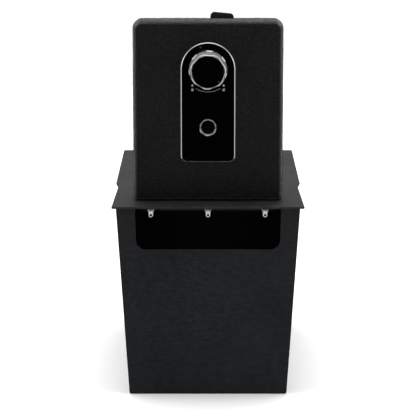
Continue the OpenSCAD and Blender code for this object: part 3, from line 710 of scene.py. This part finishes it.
# ------------------------------------------------------------------ panel trim
def make_bezel():
    """Bright trim swept round the panel: a broad outward chamfer and an upright inner wall."""
    bead = [(0.05, 2.35), (0.05, 0.25), (0.07, 0.17), (0.13, 0.09), (0.22, 0.02), (0.5, -0.18), (0.93, -0.48), (0.96, -0.5), (0.99, -0.5), (1.01, -0.48), (1.01, 2.35)]
    rings = [arch(i, 96, 40, 24, 10) for i, _ in bead]
    n, verts, faces = len(rings[0]), [], []
    for (_, y), ring in zip(bead, rings):
        verts += [on_lid((x, y, z)) for x, z in ring]
    for k in range(len(bead)):
        faces += ring_faces(n, k * n, ((k + 1) % len(bead)) * n)
    o = piece("panel_trim_bead", verts, faces, M["chrome_trim"], "lid", replaces=("lock_bezel",))
    o.data.set_sharp_from_angle(angle=math.radians(40))
    # the panel's black edge runs on under the trim's inner wall
    rim = [(1.0, 0.6), (1.0, 0.19), (2.8, 0.19), (2.8, 0.6)]
    rings = [arch(i, 96, 40, 24, 10) for i, _ in rim]
    verts, faces = [], []
    for (_, y), ring in zip(rim, rings):
        verts += [on_lid((x, y, z)) for x, z in ring]
    for k in range(len(rim)):
        faces += ring_faces(n, k * n, ((k + 1) % len(rim)) * n)
    piece("panel_black_edge", verts, faces, M["panel_gloss"], "lid", smooth=False)
    return o


make_bezel()


# ------------------------------------------------------------------ control knob
def make_knob():
    """Seven broad flutes that run out above a round foot, and a rolled lip round the cap."""
    flutes, cut_r, depth = 7, 60.0, 1.0
    face, base_y = 0.2 - 17.9, -0.1
    side = [(19.75, base_y), (20.15, base_y - 0.15), (20.28, base_y - 0.45), (20.3, base_y - 0.9)]
    start, end = base_y - 1.5, face + 1.45
    side += [(20.26 - (20.26 - 18.87) * t, start + (end - start) * t) for t in (0, 0.003, 0.014, 0.028, 0.042, 0.05, 0.054, 0.07, 0.1, 0.15, 0.2, 0.3, 0.4, 0.52, 0.64, 0.76, 0.88, 0.96)]
    lip = [(17.87 + math.sin(math.radians(g)), face + 1.53 - math.cos(math.radians(g))) for g in (86, 76, 66, 56)]
    lip += [(16.6 + 2.8 * math.sin(math.radians(g)), face + 2.8 - 2.8 * math.cos(math.radians(g))) for g in (45, 40, 35, 30, 25, 20, 15, 11)]
    lip += [(17.03, face + 0.04), (16.97, face + 0.1), (16.94, face + 0.2), (16.93, face + 1.2), (16.92, face + 3.0)]
    rows = side + lip
    phase = math.radians(-90 + 47)
    n = flutes * 72
    verts, faces = [], []
    for r0, y in rows:
        back = (start - y) / (start - end)
        run = min(1.0, max(0.0, back / 0.052))
        lip_part = 1.0 if y > face + 1.44 else max(0.0, (r0 - 17.0) / 1.87) ** 0.8
        for i in range(n):
            a = 2 * math.pi * i / n
            k = (a * flutes / (2 * math.pi)) % 1.0
            d = (0.5 - min(k, 1 - k)) * 2 * math.pi / flutes
            big = r0 + cut_r - depth
            chord = big * math.cos(d) - math.sqrt(max(cut_r ** 2 - (big * math.sin(d)) ** 2, 0))
            soft = 0.08
            m = -soft * math.log(math.exp(-(chord - r0) / soft) + 1.0)
            r = r0 + min(0, m + soft * 0.25) * lip_part * run
            g = a + phase
            verts.append(on_lid((r * math.cos(g), y, KNOB_Z + r * math.sin(g))))
    k = len(rows)
    for j in range(k - 1):
        faces += ring_faces(n, j * n, (j + 1) * n)
    # the bore side, back to the base
    inner = [(4.1, face + 3.0), (4.1, base_y)]
    for r0, y in inner:
        for i in range(n):
            g = 2 * math.pi * i / n + phase
            verts.append(on_lid((r0 * math.cos(g), y, KNOB_Z + r0 * math.sin(g))))
    faces += ring_faces(n, (k - 1) * n, k * n)
    faces += ring_faces(n, k * n, (k + 1) * n)
    faces += ring_faces(n, (k + 1) * n, 0)
    o = piece("knob_grip", verts, faces, M["knob_chrome"], "knob", replaces=("knob_ring",))
    o.data.set_sharp_from_angle(angle=math.radians(55))
    return o


make_knob()


# ------------------------------------------------------------------ fingerprint reader ring
def make_reader_ring():
    """A half-round bead round the window, on a shallow collar with seven lobes like the knob's."""
    bead = [(7.9 + 0.52 * math.cos(math.radians(g)), -0.72 - 0.56 * math.sin(math.radians(g))) for g in range(180, -1, -15)]
    shape = [(7.36, 0.3), (7.38, -0.6), *bead, (8.44, -0.64), (8.7, -0.55), (9.1, -0.4), (9.4, -0.29), (9.4, 0.2), (7.6, 0.2), (7.6, 0.3)]
    n, verts, faces, k = 210, [], [], len(shape)
    for i in range(n):
        a = 2 * math.pi * i / n
        dip = 0.5 - 0.5 * math.cos(7 * (a - math.radians(212)))
        edge = 9.4 - 0.55 * dip ** 1.5
        for r0, y in shape:
            r = min(r0, edge)
            if r0 > edge and y < 0:
                y -= (r0 - edge) * 0.36
            verts.append(on_lid((r * math.cos(a), y, SENSOR_Z + r * math.sin(a))))
    for i in range(n):
        for j in range(k):
            faces.append((i * k + j, i * k + (j + 1) % k, ((i + 1) % n) * k + (j + 1) % k, ((i + 1) % n) * k + j))
    o = piece("reader_ring", verts, faces, M["reader_plate"], "lid", replaces=("sensor_bezel",))
    o.data.set_sharp_from_angle(angle=math.radians(50))
    verts, faces = revolve([(7.0, 1.4), (7.0, 0.16), (7.04, 0.12), (7.42, 0.12), (7.42, 1.4)], 0, SENSOR_Z, 120)
    piece("reader_glass_edge", verts, faces, M["sensor_dark"], "lid", smooth=False)
    return o


make_reader_ring()


# ------------------------------------------------------------------ key hangers
def make_hanger(name, x0):
    """A stamped tab: flared foot with a pressed saddle, round tongue with an eye, leant forward."""
    outline = [(-4.4, 199.6), (-4.4, 192.6), (-4.25, 191.8), (-4.0, 190.9), (-3.65, 190.1), (-3.2, 189.3), (-2.9, 188.6), (-2.75, 187.9), (-2.75, 186.2)]
    outline += [(2.75 * math.cos(math.radians(a)), 185.75 + 2.75 * math.sin(math.radians(a))) for a in range(188, 353, 8)]
    outline += [(-x, z) for x, z in outline[:9][::-1]]
    def even(loop, step):
        out = []
        for (ax, az), (bx, bz) in zip(loop, loop[1:] + loop[:1]):
            k = max(1, round(math.hypot(bx - ax, bz - az) / step))
            out += line((ax, az), (bx, bz), k)
        return out
    outer = even(outline, 0.35)
    hole = arc(0, 185.6, 0.9, 0, 360, 32)
    flat, tri, fixed = fill(outer, [hole], 0.34, 0.1)
    back = NEAR_Y - 2.0

    def relief(p):
        x, z = p[:, 0], p[:, 1]
        saddle = np.exp(-((z - 190.1) / 1.1) ** 2) * np.clip(1 - (np.abs(x) / 3.0) ** 3, 0, 1)
        return 0.04 * saddle
    d = np.minimum(edge_distance(outer, flat), edge_distance(hole, flat))
    shift = relief(flat)
    roll = 0.16 * np.clip(1 - d / 0.5, 0, 1) ** 2

    def bent(x, t, z):
        """Leans the tab forward below the bend; t is the depth in front of its back."""
        first, last = math.radians(7.8), math.radians(13.2)
        foot, drop = min(max(192.2 - z, 0.0), 2.4), max(0.0, 189.8 - z)
        g = first * min(1.0, foot / 0.6) + (last - first) * min(1.0, drop / 2.0)
        reach = first * max(foot - 0.3, foot * foot / 1.2 if foot < 0.6 else 0.0)
        turn = min(drop, 2.0)
        reach += turn * (first + (last - first) * turn / 4.0) + max(0.0, drop - 2.0) * math.tan(last)
        return (x0 + x, back + t * math.cos(g) - reach, z - t * math.sin(g))
    verts = [bent(x, -1.2 + s + r, z) for (x, z), s, r in zip(flat, shift, roll)]
    k = len(verts)
    verts += [bent(x, min(0.0, s) * 0.5 - r * 0.6, z) for (x, z), s, r in zip(flat, shift, roll)]
    faces = [tuple(t) for t in tri] + [tuple(k + i for i in t[::-1]) for t in tri]
    n, m = len(outer), len(hole)
    faces += [(i, k + i, k + (i + 1) % n, (i + 1) % n) for i in range(n)]
    faces += [(n + (i + 1) % m, k + n + (i + 1) % m, k + n + i, n + i) for i in range(m)]
    return piece("key_tab_" + name, verts, faces, M["hanger"], "safe_body", replaces=("key_hanger_" + name,))


for side, x0 in (("left", -61.3), ("centre", 0.0), ("right", 61.3)):
    make_hanger(side, x0)


# ------------------------------------------------------------------ pull tab
def make_tab():
    """A woven strip folded over the lid's edge, its ends sewn under the carpet."""
    def even(loop, step):
        out = []
        for (ax, az), (bx, bz) in zip(loop, loop[1:] + loop[:1]):
            k = max(1, round(math.hypot(bx - ax, bz - az) / step))
            out += line((ax, az), (bx, bz), k)
        return out
    corner_l = arc(2.4 + 4.7, 199.2 - 4.9, 4.6, 180, 88, 9)
    corner_r = arc(27.2 - 4.1, 197.3 - 4.0, 4.0, 85, 0, 8)
    loop = even([(2.3, 177.0), *corner_l, *corner_r, (27.2, 193.3), (27.2, 177.0)], 0.8)[::-1]
    flat, tri, _ = fill(loop, [], 0.8, 0.15)
    d = edge_distance(loop, flat)
    roll = 0.75 * (1 - np.sqrt(np.clip(1 - (1 - np.clip(d / 0.95, 0, 1)) ** 2, 0, 1)))
    sway = 0.25 * np.sin((flat[:, 0] - 2) / 25 * math.pi) * np.clip((flat[:, 1] - 188) / 10, 0, 1)
    verts = [on_lid((x, 20.6 + r + s, z)) for (x, z), r, s in zip(flat, roll, sway)]
    k = len(verts)
    verts += [on_lid((x, 22.4 - r + s, z)) for (x, z), r, s in zip(flat, roll, sway)]
    faces = [tuple(t) for t in tri] + [tuple(k + i for i in t[::-1]) for t in tri]
    n = len(loop)
    faces += [(i, k + i, k + (i + 1) % n, (i + 1) % n) for i in range(n)]
    return piece("pull_tab_strip", verts, faces, M["tab_black"], "lid", replaces=("pull_tab",))


make_tab()


# ------------------------------------------------------------------ carried-over parts
for n, w in {
    "flange_plate": 0.8, "tub_front_panel": 0.6, "tub_rear_panel": 0.6, "tub_side_left": 0.3, "tub_side_right": 0.3,
    "tub_floor": 0.3, "floor_liner": 0.6, "mouth_lip": 0.35, "strike_plate": 0.4, "lid_plate": 0.35,
    "lock_faceplate": 0.15, "mech_cover": 0.6, "battery_door": 0.35, "locking_bolt": 0.4, "battery_tray": 0.3,
    "lock_base_plate": 0.25, "bolt_bridge": 0.25, "knob_cap": 0.2,
}.items():
    bevel(NODES[n], w)
# the flange's rounded edges take the lighter copy of the coat too: a painted highlight along the edge
NODES["flange_plate"].modifiers["bevel"].material = 0


# ------------------------------------------------------------------ stage and light
def make_stage():
    t = Mat("studio_white", Specular_IOR_Level=0.1, Roughness=0.8)
    t.put("Base_Color", t.tint(t.noise(1.2, 1), (0.945, 0.945, 0.945), (0.955, 0.955, 0.955)))
    me = bpy.data.meshes.new("floor")
    s = 9.0
    me.from_pydata([(-s, -s, 0), (s, -s, 0), (s, s, 0), (-s, s, 0)], [], [(0, 1, 2, 3)])
    me.materials.append(t.m)
    floor = bpy.data.objects.new("floor", me)
    bpy.context.scene.collection.objects.link(floor)
    floor.location.z = -0.0002
    floor.visible_glossy = False


make_stage()

world = bpy.data.worlds.new("studio")
bpy.context.scene.world = world
world.use_nodes = True
wt = world.node_tree
bg = wt.nodes["Background"]


def w_node(kind, **props):
    n = wt.nodes.new(kind)
    for k, v in props.items():
        setattr(n, k, v)
    return n


def w_math(op, a, b=None):
    n = w_node("ShaderNodeMath", operation=op)
    for i, v in enumerate((a, b)):
        if v is None:
            continue
        if isinstance(v, bpy.types.NodeSocket):
            wt.links.new(v, n.inputs[i])
        else:
            n.inputs[i].default_value = v
    return n.outputs[0]


def w_span(value, lo, hi, a, b, smooth=True):
    n = w_node("ShaderNodeMapRange", interpolation_type="SMOOTHSTEP" if smooth else "LINEAR")
    wt.links.new(value, n.inputs["Value"])
    for k, v in (("From Min", lo), ("From Max", hi), ("To Min", a), ("To Max", b)):
        n.inputs[k].default_value = v
    return n.outputs["Result"]


sep = w_node("ShaderNodeSeparateXYZ")
wt.links.new(w_node("ShaderNodeTexCoord").outputs["Generated"], sep.inputs[0])
dx, dy, dz = sep.outputs
high = w_math("SUBTRACT", dz, w_math("MULTIPLY", w_math("MAXIMUM", w_math("MULTIPLY", dy, -1.0), 0.0), 0.28))
top = w_span(high, 0.25, 0.85, 0.0, 1.15)
wide = w_math("ABSOLUTE", dx)
side = w_math("MULTIPLY", w_span(wide, 0.6, 0.97, 0.0, 1.2), w_span(dz, -0.55, 0.1, 0.1, 1.0))
corner = w_math("MULTIPLY", w_span(wide, 0.25, 0.55, 0.0, 0.62), w_span(dz, -0.25, -0.45, 0.0, 1.0))
rear = w_math("MULTIPLY", w_span(dy, 0.2, 0.9, 0.0, 0.19), w_span(dz, -0.3, 0.15, 0.0, 1.0))
low = w_span(dz, -0.5, -0.85, 0.0, 0.8)
total = w_math("ADD", w_math("ADD", w_math("ADD", top, side), w_math("ADD", rear, w_math("MAXIMUM", low, corner))), 0.01)
wt.links.new(total, bg.inputs["Strength"])
bg.inputs["Color"].default_value = (1, 1, 1, 1)


def softbox(name, where, aim, size, power, mirrored=True):
    data = bpy.data.lights.new(name, "AREA")
    data.shape, data.size, data.size_y, data.energy = "RECTANGLE", size[0], size[1], power
    o = bpy.data.objects.new(name, data)
    bpy.context.scene.collection.objects.link(o)
    o.location = where
    o.rotation_euler = (Vector(where) - Vector(aim)).to_track_quat("Z", "Y").to_euler()
    o.visible_glossy = mirrored
    return o


softbox("overhead", (0, 0.48, 2.6), (0, 0, 0), (2.6, 2.2), 80, mirrored=False)
softbox("front", (0, -3.3, 0.95), (0, -0.1, 0.2), (1.6, 0.9), 5)
